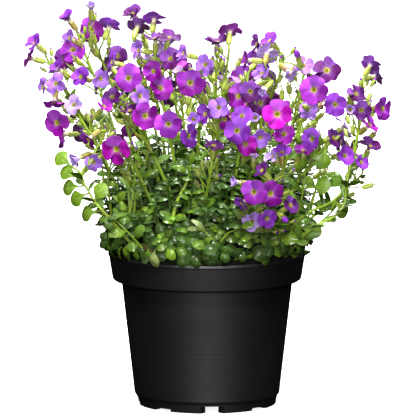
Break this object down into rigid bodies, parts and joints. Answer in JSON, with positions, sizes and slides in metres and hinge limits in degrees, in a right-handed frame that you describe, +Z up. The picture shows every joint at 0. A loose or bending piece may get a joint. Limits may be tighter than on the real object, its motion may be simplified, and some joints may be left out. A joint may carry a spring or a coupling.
{
  "type": "potted aubrieta",
  "caption": "Cushion-forming aubrieta in bloom: four-petalled violet and magenta flowers on thin leafy stems over a dense leaf mat in a round black nursery pot.",
  "frame": {"origin": "middle of the pot's underside, on the surface that the pot stands on", "axes": "+Z up along the pot's axis, -Y towards the viewer of the picture, +X to that viewer's right"},
  "size_m": [0.2211, 0.1719, 0.2458],
  "materials": {
    "pot_plastic": "satin black moulded plastic",
    "potting_soil": "matt crumbly peat and bark",
    "leaves": "satin, slightly waxy, finely haired",
    "flowering_stems": "soft petals with a faint satin sheen on green stems"
  },
  "bodies": {
    "root": {"pot": "pot_plastic", "soil": "potting_soil", "leaf_cushion": "leaves", "spray_01": "flowering_stems", "spray_02": "flowering_stems", "spray_03": "flowering_stems", "spray_04": "flowering_stems", "spray_05": "flowering_stems", "spray_06": "flowering_stems", "spray_07": "flowering_stems", "spray_08": "flowering_stems", "spray_09": "flowering_stems", "spray_10": "flowering_stems", "spray_11": "flowering_stems", "spray_12": "flowering_stems", "spray_13": "flowering_stems", "spray_14": "flowering_stems", "spray_15": "flowering_stems", "spray_16": "flowering_stems", "spray_17": "flowering_stems", "spray_18": "flowering_stems", "spray_19": "flowering_stems", "spray_20": "flowering_stems", "spray_21": "flowering_stems", "spray_22": "flowering_stems", "spray_23": "flowering_stems", "spray_24": "flowering_stems", "spray_25": "flowering_stems", "spray_26": "flowering_stems", "spray_27": "flowering_stems", "spray_28": "flowering_stems", "spray_29": "flowering_stems", "spray_30": "flowering_stems", "spray_31": "flowering_stems", "spray_32": "flowering_stems", "spray_33": "flowering_stems", "spray_34": "flowering_stems", "spray_35": "flowering_stems", "spray_36": "flowering_stems", "spray_37": "flowering_stems", "spray_38": "flowering_stems", "spray_39": "flowering_stems", "spray_40": "flowering_stems", "spray_41": "flowering_stems", "spray_42": "flowering_stems", "spray_43": "flowering_stems", "spray_44": "flowering_stems", "spray_45": "flowering_stems"}
  },
  "joints": []
}
